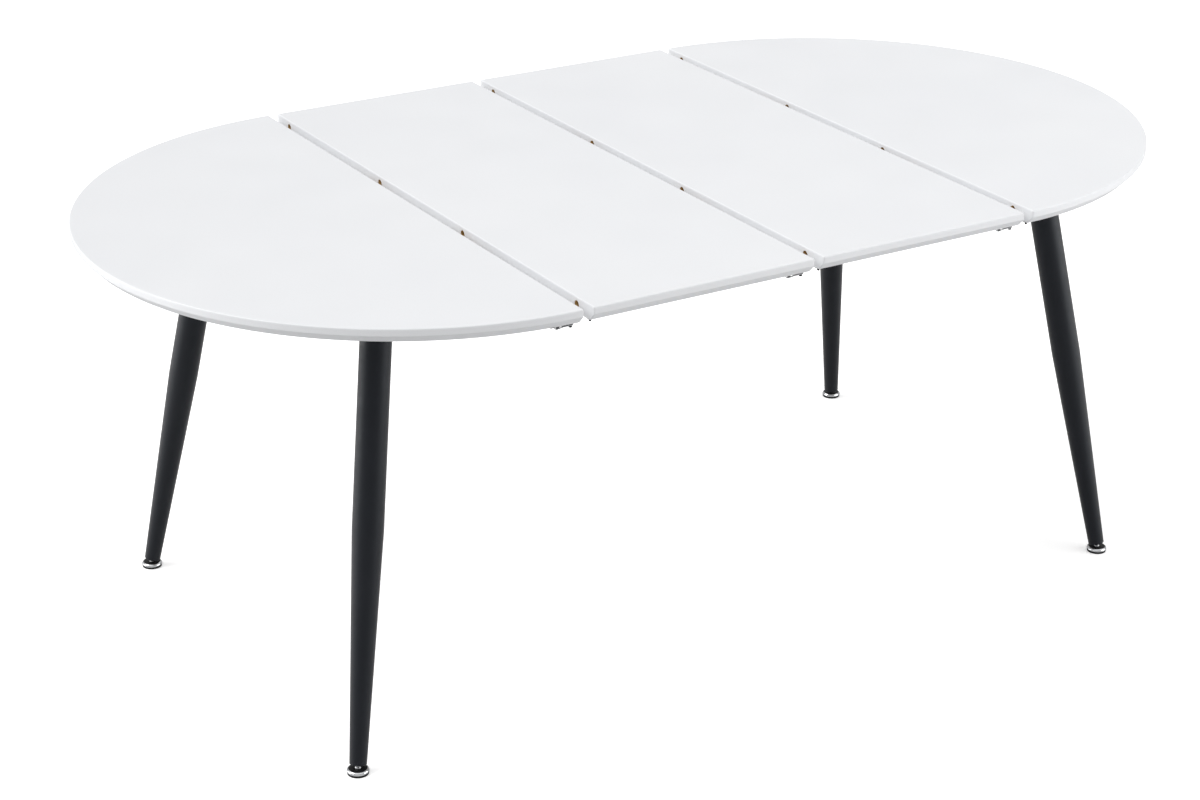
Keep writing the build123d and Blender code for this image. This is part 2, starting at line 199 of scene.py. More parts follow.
def makeBeechRail():
    # the grain runs along X, as the rails and dowels do
    finish, tree, shader, place = startFinish("beechRail")
    growth = cloud(tree, stretched(tree, place, (1.3, 16, 16)), 1.0, 4.0, 0.55, 0.6)
    pores = cloud(tree, stretched(tree, place, (26, 900, 900)), 1.0, 3.0, 0.6)
    flecks = cloud(tree, stretched(tree, place, (330, 1900, 1300)), 1.0, 1.0)
    base = tint(tree, growth, [
        (0.28, (0.430, 0.245, 0.118)), (0.52, (0.545, 0.340, 0.180)), (0.75, (0.640, 0.425, 0.245))])
    streak = tint(tree, pores, [(0.30, (0.74, 0.70, 0.66)), (0.55, (1.0, 1.0, 1.0))])
    dash = tint(tree, flecks, [(0.30, (0.80, 0.74, 0.68)), (0.37, (1.0, 1.0, 1.0))])
    feed(shader, "Base Color", multiplied(tree, multiplied(tree, base, streak), dash))
    feed(shader, "Roughness", spread(tree, pores, 0.42, 0.60))
    feed(shader, "Normal", relief(tree, pores, 0.22, 0.0003))
    return finish


def makeZincSteel():
    finish, tree, shader, place = startFinish("zincSteel")
    bloom = cloud(tree, place, 130.0, 5.0, 0.65)
    drawn = cloud(tree, stretched(tree, place, (60, 2400, 2400)), 1.0, 2.0)
    base = tint(tree, bloom, [(0.3, (0.30, 0.305, 0.315)), (0.7, (0.44, 0.445, 0.455))])
    feed(shader, "Base Color", base)
    feed(shader, "Roughness", spread(tree, bloom, 0.30, 0.46))
    feed(shader, "Normal", relief(tree, drawn, 0.10, 0.0002))
    shader.inputs["Metallic"].default_value = 1.0
    return finish


# black oxide steel for the latch bases and keepers; on the feet the same black is a painted reflection,
# standing in for the black leg mirrored in the chrome crown
def makeBlackOxideAndPaintedReflection():
    finish, tree, shader, place = startFinish("blackOxide")
    stain = cloud(tree, place, 160.0, 4.0, 0.6)
    base = tint(tree, stain, [(0.3, (0.006, 0.006, 0.0065)), (0.7, (0.012, 0.012, 0.013))])
    feed(shader, "Base Color", base)
    feed(shader, "Roughness", spread(tree, stain, 0.34, 0.52))
    feed(shader, "Normal", relief(tree, cloud(tree, place, 900.0, 2.0), 0.10, 0.0002))
    shader.inputs["Specular IOR Level"].default_value = 0.25
    return finish


whiteLacquer = makeWhiteLacquer()
rawBoard = makeRawBoard()
blackPowderCoat = makeBlackPowderCoat()
chrome = makeChrome()
blackPlastic = makeBlackPlastic()
beechRail = makeBeechRail()
zincSteel = makeZincSteel()
blackOxide = makeBlackOxideAndPaintedReflection()
print("finishes made")


# small tools for pieces

meshing = {"weld": 1e-6, "cutWeld": 2e-6, "flatAngle": 0.5, "softAngle": 32}


def looseObject(name, mesh):
    piece = bpy.data.objects.new(name, mesh)
    scene.collection.objects.link(piece)
    return piece


def settled(piece):
    # plain mesh with every modifier taken into it
    bpy.context.view_layer.update()
    graph = bpy.context.evaluated_depsgraph_get()
    mesh = bpy.data.meshes.new_from_object(piece.evaluated_get(graph))
    old = piece.data
    piece.modifiers.clear()
    piece.data = mesh
    if old.users == 0:
        bpy.data.meshes.remove(old)
    mesh.name = piece.name
    return piece


def softEdges(piece, width, steps, angle=None):
    # edges sharper than the angle, or with no angle the ones that carry a bevel weight
    soften = piece.modifiers.new("softEdges", "BEVEL")
    soften.width = width
    soften.segments = steps
    if angle is None:
        soften.limit_method = "WEIGHT"
    else:
        soften.limit_method = "ANGLE"
        soften.angle_limit = radians(angle)
    return settled(piece)


def evenShade(piece, sharpAngle=40):
    piece.data.shade_smooth()
    piece.data.set_sharp_from_angle(angle=radians(sharpAngle))
    even = piece.modifiers.new("evenShade", "WEIGHTED_NORMAL")
    even.keep_sharp = True
    return settled(piece)


def wear(piece, *finishes):
    # clearing sets every face back to the first finish, so a new mesh is left alone
    if piece.data.materials:
        piece.data.materials.clear()
    for finish in finishes:
        piece.data.materials.append(finish)
    return piece


def install(piece, slotName, *nodes):
    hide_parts(*nodes)
    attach(piece, bodyOf[nodes[0]])
    return piece


def meshFrom(bm, name):
    mesh = bpy.data.meshes.new(name)
    bm.to_mesh(mesh)
    bm.free()
    return mesh


def addRing(bm, radius, height, steps, place):
    ring = []
    for k in range(steps):
        angle = 2 * pi * k / steps
        ring.append(bm.verts.new(place @ Vector((radius * cos(angle), radius * sin(angle), height))))
    return ring


def addLathe(bm, profile, steps, place=Matrix()):
    # profile of (radius, height) from pole to pole, turned about the local Z
    rings = [addRing(bm, radius, height, steps if radius else 1, place) for radius, height in profile]
    faces = []
    for lower, upper in zip(rings, rings[1:]):
        for k in range(steps):
            n = (k + 1) % steps
            loop = [lower[k % len(lower)], lower[n % len(lower)]]
            loop += [upper[n % len(upper)], upper[k % len(upper)]]
            loop = [v for i, v in enumerate(loop) if v not in loop[:i]]
            if len(loop) > 2:
                faces.append(bm.faces.new(loop))
    bmesh.ops.recalc_face_normals(bm, faces=faces)
    return faces


def arc(centre, radius, start, end, steps):
    angles = [radians(start + (end - start) * k / steps) for k in range(steps + 1)]
    return [(centre[0] + radius * cos(a), centre[1] + radius * sin(a)) for a in angles]


def weldedNode(node):
    bm = bmesh.new()
    bm.from_mesh(cadNodes[node].data)
    bmesh.ops.remove_doubles(bm, verts=bm.verts, dist=meshing["weld"])
    return bm


def islandBoxes(node):
    # box of every separate solid in one CAD node
    bm = weldedNode(node)
    seen, boxes = set(), []
    for start in bm.verts:
        if start in seen:
            continue
        group, queue = [], [start]
        seen.add(start)
        while queue:
            vert = queue.pop()
            group.append(vert.co.copy())
            for edge in vert.link_edges:
                other = edge.other_vert(vert)
                if other not in seen:
                    seen.add(other)
                    queue.append(other)
        low = Vector([min(p[i] for p in group) for i in range(3)])
        high = Vector([max(p[i] for p in group) for i in range(3)])
        boxes.append((low, high))
    bm.free()
    return sorted(boxes, key=lambda pair: tuple(round(c, 5) for c in pair[0]))


def softCopy(node, name, width, steps=2):
    # a CAD node with its flat faces made whole and its edges softened
    bm = weldedNode(node)
    bmesh.ops.dissolve_limit(bm, angle_limit=radians(meshing["flatAngle"]), verts=bm.verts, edges=bm.edges)
    piece = looseObject(name, meshFrom(bm, name))
    softEdges(piece, width, steps, meshing["softAngle"])
    return evenShade(piece)


# top panels

topPanel = {
    "faceHeight": 0.012, "bevelInset": 0.0125, "rimSteps": 220,
    "arris": 0.0025, "arrisSteps": 5, "arrisAngle": 20, "lowerShare": 0.4,
    "holeRadius": 0.0062, "holeDepth": 0.012, "socketRadius": 0.00605, "socketDepth": 0.0222,
    "holeMouth": 0.0004, "holeSteps": 40, "cutterReach": 0.004,
    "rawRadius": 0.0066, "rawStart": 0.0003, "rawEnd": 0.03, "rawFace": 1e-4,  # faces of bare board in a bore
    "hairline": 0.0001,  # left between the two halves when they are shut
}


def panelMesh(name, outline, inner, isSeam, low, high):
    # outline at the rim, inner at the foot of the bevel, both counter-clockwise from above
    bm = bmesh.new()
    levels = ((outline, high), (outline, high - topPanel["faceHeight"]), (inner, low))
    top, mid, foot = [[bm.verts.new((x, y, z)) for x, y in loop] for loop, z in levels]
    bm.faces.new(top)
    bm.faces.new(foot[::-1])
    for i in range(len(outline)):
        j = (i + 1) % len(outline)
        if isSeam[i]:
            bm.faces.new([top[j], top[i], mid[i], foot[i], foot[j], mid[j]])
        else:
            bm.faces.new([top[j], top[i], mid[i], mid[j]])
            bm.faces.new([mid[j], mid[i], foot[i], foot[j]])
    bmesh.ops.recalc_face_normals(bm, faces=bm.faces)
    # full rounding on the top edges and the seam's upright corners, less of it below
    share = bm.edges.layers.float.new("bevel_weight_edge")
    upper = set(top)
    for edge in bm.edges:
        if edge.calc_face_angle(0) > radians(topPanel["arrisAngle"]):
            isUpper = any(vert in upper for vert in edge.verts)
            edge[share] = 1.0 if isUpper else topPanel["lowerShare"]
    return meshFrom(bm, name)


def halfOutline(seamX, side, radius):
    start = 90 if side < 0 else -90
    rim = arc((seamX, 0), radius, start, start + 180, topPanel["rimSteps"])
    seam = seamX + side * topPanel["hairline"]
    rim[0], rim[-1] = (seam, rim[0][1]), (seam, rim[-1][1])
    return rim


def leafOutline(left, right, reach):
    return [(left, -reach), (right, -reach), (right, reach), (left, reach)]


def boreCutter(spots, radius, depth, facing):
    # plain holes into a seam face; facing is the way the face looks along X
    bm = bmesh.new()
    mouth, out = topPanel["holeMouth"], topPanel["cutterReach"]
    profile = [(0, -depth), (radius, -depth), (radius, -mouth)]
    profile += [(radius + mouth, 0), (radius + mouth, out), (0, out)]
    for spot in spots:
        turn = Matrix.Translation(spot) @ Matrix.Rotation(radians(90 * facing), 4, "Y")
        addLathe(bm, profile, topPanel["holeSteps"], turn)
    return looseObject("cutter", meshFrom(bm, "cutter"))


def cutOut(piece, cutter):
    cut = piece.modifiers.new("bores", "BOOLEAN")
    cut.operation = "DIFFERENCE"
    cut.solver = "EXACT"
    cut.object = cutter
    settled(piece)
    bpy.data.objects.remove(cutter)
    bm = bmesh.new()
    bm.from_mesh(piece.data)
    bmesh.ops.remove_doubles(bm, verts=bm.verts, dist=meshing["cutWeld"])
    bmesh.ops.dissolve_degenerate(bm, edges=bm.edges, dist=meshing["weld"])
    bm.to_mesh(piece.data)
    bm.free()


def makePanel(node, name, isHalf):
    low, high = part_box(node)
    reach, innerReach = high.y, high.y - topPanel["bevelInset"]
    if isHalf:
        side = -1 if low.x < 0 else 1
        seamX = high.x if side < 0 else low.x
        outline, inner = halfOutline(seamX, side, reach), halfOutline(seamX, side, innerReach)
        isSeam = [False] * topPanel["rimSteps"] + [True]
    else:
        outline, inner = leafOutline(low.x, high.x, reach), leafOutline(low.x, high.x, innerReach)
        isSeam = [False, True, False, True]
    piece = looseObject(name, panelMesh(name, outline, inner, isSeam, low.z, high.z))
    softEdges(piece, topPanel["arris"], topPanel["arrisSteps"])
    level = (low.z + high.z) / 2
    rows = [(box[0].y + box[1].y) / 2 for box in islandBoxes("left_dowels")]
    mouths = []
    if node != "left_half":
        spots = [(low.x, y, level) for y in rows]
        cutOut(piece, boreCutter(spots, topPanel["holeRadius"], topPanel["holeDepth"], -1))
        mouths.append(low.x)
    if node != "right_half":
        spots = [(high.x, y, level) for y in rows]
        cutOut(piece, boreCutter(spots, topPanel["socketRadius"], topPanel["socketDepth"], 1))
        mouths.append(high.x)
    evenShade(piece)
    wear(piece, whiteLacquer, rawBoard)
    for face in piece.data.polygons:
        c = face.center
        nearRow = min((c.y - y) ** 2 + (c.z - level) ** 2 for y in rows) < topPanel["rawRadius"] ** 2
        inBore = topPanel["rawStart"] < min(abs(c.x - x) for x in mouths) < topPanel["rawEnd"]
        face.material_index = 1 if nearRow and inBore and face.area < topPanel["rawFace"] else 0
    return install(piece, "white_lacquer", node)


panels = [  # node, piece, half of the round
    ("left_half", "leftHalfTop", True), ("leaf_1", "leafOneTop", False),
    ("leaf_2", "leafTwoTop", False), ("right_half", "rightHalfTop", True),
]
for node, name, isHalf in panels:
    panel = makePanel(node, name, isHalf)
    print("panel", name, len(panel.data.polygons), "faces")


# node trees for what repeats

def newTree(name, sockets):
    tree = bpy.data.node_groups.new(name, "GeometryNodeTree")
    ids = {}
    for label, kind in sockets:
        socket = tree.interface.new_socket(label, in_out="INPUT", socket_type="NodeSocket" + kind)
        ids[label] = socket.identifier
    tree.interface.new_socket("Geometry", in_out="OUTPUT", socket_type="NodeSocketGeometry")
    start = tree.nodes.new("NodeGroupInput")
    end = tree.nodes.new("NodeGroupOutput")
    return tree, ids, start, end


def runTree(piece, tree, ids, values):
    grow = piece.modifiers.new("grow", "NODES")
    grow.node_group = tree
    for label, value in values.items():
        grow[ids[label]] = value
    return settled(piece)


def scatterTree():
    # one shape on every point, each turned about its own axis by a seeded angle
    tree, ids, start, end = newTree("fastenerSet", [
        ("Geometry", "Geometry"), ("Shape", "Object"), ("Axis", "Vector"),
        ("Turn Range", "Float"), ("Seed", "Int")])
    link = tree.links.new
    shape = tree.nodes.new("GeometryNodeObjectInfo")
    link(start.outputs["Shape"], shape.inputs["Object"])
    chance = tree.nodes.new("FunctionNodeRandomValue")
    chance.data_type = "FLOAT"
    turnMax = [s for s in chance.inputs if s.name == "Max" and s.type == "VALUE"][0]
    link(start.outputs["Turn Range"], turnMax)
    link(start.outputs["Seed"], chance.inputs["Seed"])
    turn = tree.nodes.new("FunctionNodeAxisAngleToRotation")
    link(start.outputs["Axis"], turn.inputs["Axis"])
    link([s for s in chance.outputs if s.type == "VALUE"][0], turn.inputs["Angle"])
    onPoints = tree.nodes.new("GeometryNodeInstanceOnPoints")
    link(start.outputs["Geometry"], onPoints.inputs["Points"])
    link(shape.outputs["Geometry"], onPoints.inputs["Instance"])
    link(turn.outputs["Rotation"], onPoints.inputs["Rotation"])
    real = tree.nodes.new("GeometryNodeRealizeInstances")
    link(onPoints.outputs["Instances"], real.inputs["Geometry"])
    link(real.outputs["Geometry"], end.inputs["Geometry"])
    return tree, ids


fastener = {"turnRange": 6.283, "shadeAngle": 34}
fastenerTree, fastenerIds = scatterTree()


def scatter(name, shape, points, axis, finish, slotName, node, seed):
    mesh = bpy.data.meshes.new(name)
    mesh.from_pydata([tuple(p) for p in points], [], [])
    piece = looseObject(name, mesh)
    runTree(piece, fastenerTree, fastenerIds, {
        "Shape": shape, "Axis": axis, "Turn Range": fastener["turnRange"], "Seed": seed})
    wear(piece, finish)
    evenShade(piece, fastener["shadeAngle"])
    install(piece, slotName, node)
    bpy.data.objects.remove(shape)


# dowels

dowel = {
    "radius": 0.006, "blindBevel": 0.0006, "tip": 0.006, "tipSteps": 6, "steps": 72,
    "flutes": 20, "fluteDepth": 0.00025, "flutedFrom": 0.7, "firstSeed": 11,
}


def dowelShape(length):
    # fluted peg along X with a domed tip, its blind end at x = 0
    bm = bmesh.new()
    radius, bevel, tip = dowel["radius"], dowel["blindBevel"], dowel["tip"]
    profile = [(0, 0), (radius - bevel, 0), (radius, bevel), (radius, length - tip)]
    profile += arc((0, length - tip), tip, 0, 90, dowel["tipSteps"])[1:-1]
    profile.append((0, length))
    addLathe(bm, profile, dowel["steps"], Matrix.Rotation(radians(90), 4, "Y"))
    for vert in bm.verts:
        spoke = Vector((0, vert.co.y, vert.co.z))
        if spoke.length > dowel["flutedFrom"] * radius:
            angle = spoke.angle(Vector((0, 1, 0))) * (1 if spoke.z >= 0 else -1)
            dip = dowel["fluteDepth"] * (0.5 - 0.5 * cos(dowel["flutes"] * angle)) ** 2
            vert.co -= spoke.normalized() * dip
    return looseObject("dowelShape", meshFrom(bm, "dowelShape"))


dowelSets = [  # node, piece
    ("left_dowels", "leftDowels"), ("leaf_1_dowels", "leafOneDowels"), ("leaf_2_dowels", "leafTwoDowels"),
]
for seed, (node, name) in enumerate(dowelSets, dowel["firstSeed"]):
    boxes = islandBoxes(node)
    shape = dowelShape(boxes[0][1].x - boxes[0][0].x)
    points = [(low.x, (low.y + high.y) / 2, (low.z + high.z) / 2) for low, high in boxes]
    scatter(name, shape, points, (1, 0, 0), beechRail, "beech", node, seed)
print("dowels placed")


# screws

screw = {
    "steps": 24, "rounding": 0.12, "edgeRise": 0.6, "pointRun": 2, "pointShare": 0.25, "firstSeed": 31,
    "dome": ((0, 0), (0.55, 0.06), (0.86, 0.28), (1, 0.62), (1, 1)),  # shares of the head's radius and height
    "recessReach": 0.62, "recessWidth": 0.20, "recessDepth": 0.9, "recessOut": 0.001,
    "recessEndReach": 0.45, "recessEndWidth": 0.75,
}


def crossCutter(headRadius, headHeight):
    # one plus-shaped plug that narrows upward
    bm = bmesh.new()
    reach, half = screw["recessReach"] * headRadius, screw["recessWidth"] * headRadius / 2
    rings = []
    mouth = (-screw["recessOut"], 1.0, 1.0)
    floor = (screw["recessDepth"] * headHeight, screw["recessEndReach"], screw["recessEndWidth"])
    for z, reachShare, widthShare in (mouth, floor):
        r, h = reach * reachShare, half * widthShare
        outline = [(h, -r), (h, -h), (r, -h), (r, h), (h, h), (h, r)]
        outline += [(-x, -y) for x, y in outline]
        rings.append([bm.verts.new((x, y, z)) for x, y in outline])
    low, high = rings
    count = len(low)
    bm.faces.new(low[::-1])
    bm.faces.new(high)
    for k in range(count):
        n = (k + 1) % count
        bm.faces.new([low[k], low[n], high[n], high[k]])
    bmesh.ops.recalc_face_normals(bm, faces=bm.faces)
    return looseObject("crossCutter", meshFrom(bm, "crossCutter"))


def screwShape(headRadius, headHeight, shankRadius, length, domed):
    # head face at z = 0 looking down, point up
    bm = bmesh.new()
    soft = screw["rounding"] * headRadius
    if domed:
        profile = [(out * headRadius, up * headHeight) for out, up in screw["dome"]]
    else:
        profile = [(0, 0), (headRadius - soft, 0), (headRadius, soft * screw["edgeRise"])]
    profile += [(shankRadius, headHeight), (shankRadius, length - screw["pointRun"] * shankRadius)]
    profile += [(screw["pointShare"] * shankRadius, length), (0, length)]
    addLathe(bm, profile, screw["steps"])
    shape = looseObject("screwShape", meshFrom(bm, "screwShape"))
    cutOut(shape, crossCutter(headRadius, headHeight))
    return shape


screwSets = [  # node, piece, shank radius, head height, domed head
    ("left_leg_screws", "leftLegScrews", 0.0025, 0.0028, False),
    ("right_leg_screws", "rightLegScrews", 0.0025, 0.0028, False),
    ("left_rail_screws", "leftRailScrews", 0.00225, 0.003, False),
    ("right_rail_screws", "rightRailScrews", 0.00225, 0.003, False),
    ("mid_tie_screws", "tieScrews", 0.003, 0.003, True),
    ("left_screws", "leftLatchScrews", 0.0016, 0.0015, False),
    ("leaf_1_screws", "leafOneLatchScrews", 0.0016, 0.0015, False),
    ("leaf_2_screws", "leafTwoLatchScrews", 0.0016, 0.0015, False),
    ("right_screws", "rightKeeperScrews", 0.0016, 0.0015, False),
]
for seed, (node, name, shankRadius, headHeight, domed) in enumerate(screwSets, screw["firstSeed"]):
    boxes = islandBoxes(node)
    low, high = boxes[0]
    shape = screwShape((high.x - low.x) / 2, headHeight, shankRadius, high.z - low.z, domed)
    points = [((lo.x + hi.x) / 2, (lo.y + hi.y) / 2, lo.z) for lo, hi in boxes]
    scatter(name, shape, points, (0, 0, 1), zincSteel, "zinc_steel", node, seed)
print("screws placed")


# legs

leg = {
    "upperRadius": 0.025, "endRadius": 0.014, "taperTop": 0.385, "endHeight": 0.016, "wall": 0.002,
    "rings": 90, "steps": 72, "overrun": 0.004, "footCentreHeight": 0.0086,
    "rimSoftness": 0.0005, "rimSteps": 2, "rimAngle": 50, "shadeAngle": 45,
    "plateSoftness": 0.0007, "plugSoftness": 0.0003,
}
bead = {
    "radius": 0.0021, "ripples": 64, "rippleDepth": 0.00016, "rippleSteps": 4, "sides": 8,
    "drop": 0.0004, "topLimit": 0.0003, "shadeAngle": 60,
}


def legTree():
    # tapered tube along a line, cut level at the top
    tree, ids, start, end = newTree("taperedLeg", [
        ("Geometry", "Geometry"), ("Lower End", "Vector"), ("Upper End", "Vector"),
        ("Axis", "Vector"), ("Axis Rise", "Float"), ("Cut Level", "Float"),
        ("Upper Radius", "Float"), ("End Radius", "Float"), ("Taper Share", "Float"),
        ("Rings", "Int"), ("Steps", "Int")])
    link = tree.links.new
    line = tree.nodes.new("GeometryNodeCurvePrimitiveLine")
    link(start.outputs["Lower End"], line.inputs["Start"])
    link(start.outputs["Upper End"], line.inputs["End"])
    divide = tree.nodes.new("GeometryNodeResampleCurve")
    link(line.outputs["Curve"], divide.inputs["Curve"])
    link(start.outputs["Rings"], divide.inputs["Count"])
    along = tree.nodes.new("GeometryNodeSplineParameter")
    taper = tree.nodes.new("ShaderNodeMapRange")
    link(along.outputs["Factor"], taper.inputs["Value"])
    link(start.outputs["Taper Share"], taper.inputs["From Max"])
    link(start.outputs["End Radius"], taper.inputs["To Min"])
    link(start.outputs["Upper Radius"], taper.inputs["To Max"])
    ring = tree.nodes.new("GeometryNodeCurvePrimitiveCircle")
    ring.inputs["Radius"].default_value = 1.0
    link(start.outputs["Steps"], ring.inputs["Resolution"])
    sweep = tree.nodes.new("GeometryNodeCurveToMesh")
    link(divide.outputs["Curve"], sweep.inputs["Curve"])
    link(ring.outputs["Curve"], sweep.inputs["Profile Curve"])
    link(taper.outputs["Result"], sweep.inputs["Scale"])
    # points above the cut slide back along the leg
    place = tree.nodes.new("GeometryNodeInputPosition")
    parts = tree.nodes.new("ShaderNodeSeparateXYZ")
    link(place.outputs["Position"], parts.inputs["Vector"])
    over = tree.nodes.new("ShaderNodeMath")
    over.operation = "SUBTRACT"
    link(start.outputs["Cut Level"], over.inputs[0])
    link(parts.outputs["Z"], over.inputs[1])
    onlyDown = tree.nodes.new("ShaderNodeMath")
    onlyDown.operation = "MINIMUM"
    onlyDown.inputs[1].default_value = 0.0
    link(over.outputs["Value"], onlyDown.inputs[0])
    slide = tree.nodes.new("ShaderNodeMath")
    slide.operation = "DIVIDE"
    link(onlyDown.outputs["Value"], slide.inputs[0])
    link(start.outputs["Axis Rise"], slide.inputs[1])
    offset = tree.nodes.new("ShaderNodeVectorMath")
    offset.operation = "SCALE"
    link(start.outputs["Axis"], offset.inputs["Vector"])
    link(slide.outputs["Value"], offset.inputs["Scale"])
    move = tree.nodes.new("GeometryNodeSetPosition")
    link(sweep.outputs["Mesh"], move.inputs["Geometry"])
    link(offset.outputs["Vector"], move.inputs["Offset"])
    link(move.outputs["Geometry"], end.inputs["Geometry"])
    return tree, ids


taperedLegTree, taperedLegIds = legTree()


def camelName(stem, corner):
    return stem + "".join(word.capitalize() for word in corner.split("_"))


def legLine(corner):
    # top of the leg's middle line, centre of the foot's ball, the way up and the tube's end
    plateLow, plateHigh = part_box("leg_plate_" + corner)
    padLow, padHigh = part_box("foot_pad_" + corner)
    top = Vector(((plateLow.x + plateHigh.x) / 2, (plateLow.y + plateHigh.y) / 2, plateLow.z))
    ball = Vector(((padLow.x + padHigh.x) / 2, (padLow.y + padHigh.y) / 2, leg["footCentreHeight"]))
    axis = (top - ball).normalized()
    end = ball + axis * ((leg["endHeight"] - ball.z) / axis.z)
    return top, ball, axis, end


def makeLeg(corner):
    top, _, axis, end = legLine(corner)
    over = 2 * leg["upperRadius"] * (1 - axis.z ** 2) ** 0.5 / axis.z + leg["overrun"]
    upper = top + axis * over
    length = (upper - end).length
    share = (leg["taperTop"] - leg["endHeight"]) / axis.z / length
    piece = looseObject(camelName("leg", corner), bpy.data.meshes.new("legSeed"))
    runTree(piece, taperedLegTree, taperedLegIds, {
        "Lower End": end, "Upper End": upper, "Axis": axis, "Axis Rise": axis.z, "Cut Level": top.z,
        "Upper Radius": leg["upperRadius"], "End Radius": leg["endRadius"], "Taper Share": share,
        "Rings": leg["rings"], "Steps": leg["steps"]})
    bm = bmesh.new()
    bm.from_mesh(piece.data)
    bmesh.ops.remove_doubles(bm, verts=bm.verts, dist=meshing["weld"])
    bmesh.ops.recalc_face_normals(bm, faces=bm.faces)
    # an open tube may come out with its faces inward
    middle = (top + end) / 2
    probe = min(bm.faces, key=lambda f: (f.calc_center_median() - middle).length)
    spoke = probe.calc_center_median() - end
    if probe.normal.dot(spoke - axis * spoke.dot(axis)) < 0:
        bmesh.ops.reverse_faces(bm, faces=bm.faces)
    bm.to_mesh(piece.data)
    bm.free()
    wall = piece.modifiers.new("wall", "SOLIDIFY")
    wall.thickness = leg["wall"]
    wall.offset = -1
    settled(piece)
    softEdges(piece, leg["rimSoftness"], leg["rimSteps"], leg["rimAngle"])
    evenShade(piece, leg["shadeAngle"])
    wear(piece, blackPowderCoat)
    install(piece, "black_powder_coat", "leg_" + corner)


def makeWeldBead(corner):
    # rippled fillet where the tube meets its plate
    top, _, axis, _ = legLine(corner)
    bm = bmesh.new()
    flat = Vector((axis.x, axis.y, 0)).normalized()
    across = Vector((-flat.y, flat.x, 0))
    steps, sides = bead["rippleSteps"] * bead["ripples"], bead["sides"]
    rings = []
    for k in range(steps):
        angle = 2 * pi * k / steps
        outward = flat * cos(angle) / axis.z + across * sin(angle)
        centre = top + outward * leg["upperRadius"] - Vector((0, 0, bead["drop"]))
        size = bead["radius"] + bead["rippleDepth"] * cos(bead["ripples"] * angle)
        ring = []
        for s in range(sides):
            turn = 2 * pi * s / sides
            lift = Vector((0, 0, min(size * sin(turn), bead["topLimit"])))
            ring.append(bm.verts.new(centre + outward.normalized() * size * cos(turn) + lift))
        rings.append(ring)
    for k in range(steps):
        a, b = rings[k], rings[(k + 1) % steps]
        for s in range(sides):
            t = (s + 1) % sides
            bm.faces.new([a[s], a[t], b[t], b[s]])
    bmesh.ops.recalc_face_normals(bm, faces=bm.faces)
    piece = looseObject(camelName("weldBead", corner), meshFrom(bm, "weldBead"))
    evenShade(piece, bead["shadeAngle"])
    wear(piece, blackPowderCoat)
    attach(piece, bodyOf["leg_" + corner])


for corner in corners:
    makeLeg(corner)
    makeWeldBead(corner)
    plate = softCopy("leg_plate_" + corner, camelName("legPlate", corner), leg["plateSoftness"])
    install(wear(plate, blackPowderCoat), "black_powder_coat", "leg_plate_" + corner)
    plug = softCopy("leg_plug_" + corner, camelName("legPlug", corner), leg["plugSoftness"], 1)
    install(wear(plug, zincSteel), "zinc_steel", "leg_plug_" + corner)
print("legs, beads, plates and plugs made")


# levelling feet

foot = {
    "discRadius": 0.018, "steps": 72, "rimHeight": 0.0012, "rimSoftness": 0.0005, "rimSteps": 4,
    "shoulder": 0.004, "shoulderSteps": 10, "crownRadius": 0.006, "crownRise": 0.0005,
    "paintedLegReflectionReach": 0.0152,  # painted reflection: the chrome crown is coloured black as far out as the disc would mirror the black leg
    "seatDraft": 0.0002, "seatDepth": 0.0005, "ballRadius": 0.0052, "ballAngle": 15, "ballSteps": 40,
    "collarFlats": 0.013, "collarHeight": 0.0034, "collarTurn": 15, "collarSoftness": 0.0004,
    "studRadius": 0.004, "studLength": 0.042, "studSink": 0.001, "studSteps": 32,
    "threadPitch": 0.00125, "threadDepth": 0.0006, "shadeAngle": 38,
    "padHeight": 0.004, "padStep": 0.0004, "padSoftness": 0.0003, "padSteps": 3, "padDraft": 0.0001,
}


def domeProfile():
    base, rimTop = foot["padHeight"], foot["padHeight"] + foot["rimHeight"]
    soft, reach = foot["rimSoftness"], foot["discRadius"] - foot["shoulder"]
    top = rimTop + foot["shoulder"] + foot["crownRise"]
    seat = top - foot["seatDepth"]
    profile = [(0, base)] + arc((foot["discRadius"] - soft, base + soft), soft, -90, 0, foot["rimSteps"])
    profile += arc((reach, rimTop), foot["shoulder"], 0, 90, foot["shoulderSteps"])
    profile += [(foot["crownRadius"], top), (foot["crownRadius"] - foot["seatDraft"], seat), (0, seat)]
    return profile


def studProfile(rise):
    core, outer, pitch = foot["studRadius"] - foot["threadDepth"], foot["studRadius"], foot["threadPitch"]
    turns = int(rise / pitch)
    profile = [(0, -foot["studSink"]), (core, -foot["studSink"])]
    for k in range(turns):
        profile += [(core, k * pitch), (outer, (k + 0.5) * pitch)]
    return profile + [(core, turns * pitch), (0, turns * pitch)]


